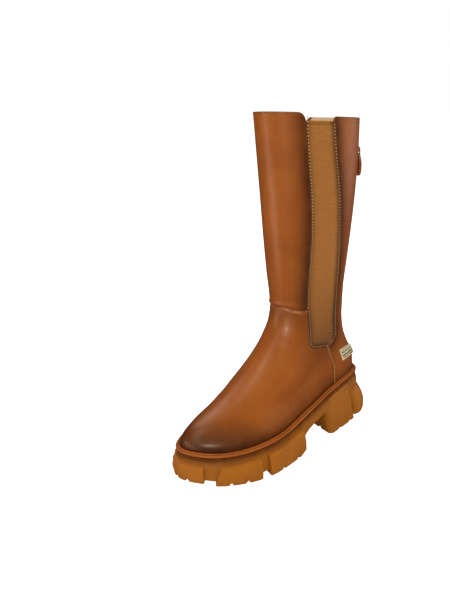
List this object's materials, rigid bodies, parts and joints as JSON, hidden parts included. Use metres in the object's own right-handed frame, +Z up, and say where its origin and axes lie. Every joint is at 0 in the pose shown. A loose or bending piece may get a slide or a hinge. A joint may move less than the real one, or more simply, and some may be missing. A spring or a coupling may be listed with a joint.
{
  "type": "tall pull-on boot",
  "caption": "Tall pull-on leather boot with an elastic gore in each side, a back zip, a welt, a heel plate and a thick cleated rubber sole.",
  "frame": {"origin": "on the ground, under the middle of the heel, on the flat foot of the tread bar there", "axes": "+Z up out of the shaft, -Y towards the toe, +X towards the outer side of the foot"},
  "size_m": [0.1052, 0.2851, 0.3649],
  "materials": {
    "leather": "smooth pull-up leather, satin, burnished darker at the toe and edges",
    "elastic": "ribbed woven elastic, matt",
    "sole_rubber": "moulded, soft satin",
    "welt_rubber": "moulded, satin",
    "lining": "matt textile lining",
    "zip_tape": "woven tape, matt",
    "pale_metal": "pale gold, brushed",
    "tab_leather": "smooth, satin"
  },
  "bodies": {
    "boot": {"upper": "leather", "gore_outer": "elastic", "gore_inner": "elastic", "outsole": "sole_rubber", "welt": "welt_rubber", "insole": "lining", "heel_plate": "pale_metal", "zip_tape": "zip_tape", "zip_slider": "pale_metal"},
    "zip_pull": {"zip_link": "pale_metal", "pull_tab": "tab_leather"}
  },
  "joints": [
    {"name": "zip_pull_swing", "type": "hinge", "parent": "boot", "child": "zip_pull", "pos_m": [0.01486, 0.03326, 0.31661], "axis": [0.8796, -0.4756, 0], "range_deg": [0, 150]}
  ]
}
